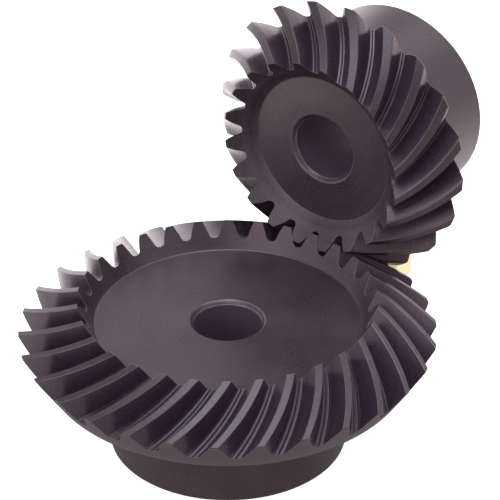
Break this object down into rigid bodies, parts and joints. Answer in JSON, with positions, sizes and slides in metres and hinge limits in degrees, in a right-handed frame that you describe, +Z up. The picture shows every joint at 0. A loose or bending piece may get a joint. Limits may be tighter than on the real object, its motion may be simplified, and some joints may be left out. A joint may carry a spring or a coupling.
{
  "type": "spiral bevel gear pair",
  "caption": "Spiral bevel ring gear and pinion in mesh with crossed shaft axes at a right angle, plain chamfered bores, and a saddle rest under the pinion hub.",
  "frame": {"origin": "on the ring gear's axis at its hub back face, which stands on the table", "axes": "+Z up along the ring gear's bore, out of the toothed side; +X along the pinion's bore, out of the pinion's hub"},
  "size_m": [0.1123, 0.0918, 0.0885],
  "materials": {
    "black_oxide_steel": "satin black oxide",
    "cream_block": "matt"
  },
  "bodies": {
    "stand": {"rest_block": "cream_block"},
    "ring": {"ring_gear": "black_oxide_steel"},
    "pinion": {"pinion": "black_oxide_steel"}
  },
  "joints": [
    {"name": "ring_spin", "type": "hinge", "parent": "stand", "child": "ring", "pos_m": [0, 0, 0], "axis": [0, 0, 1], "continuous": true},
    {"name": "pinion_spin", "type": "hinge", "parent": "stand", "child": "pinion", "pos_m": [0, 0, 0.056], "axis": [1, 0, 0], "continuous": true}
  ],
  "couplings": [
    {"joint": "pinion_spin", "follows": "ring_spin", "ratio": 1.5}
  ]
}
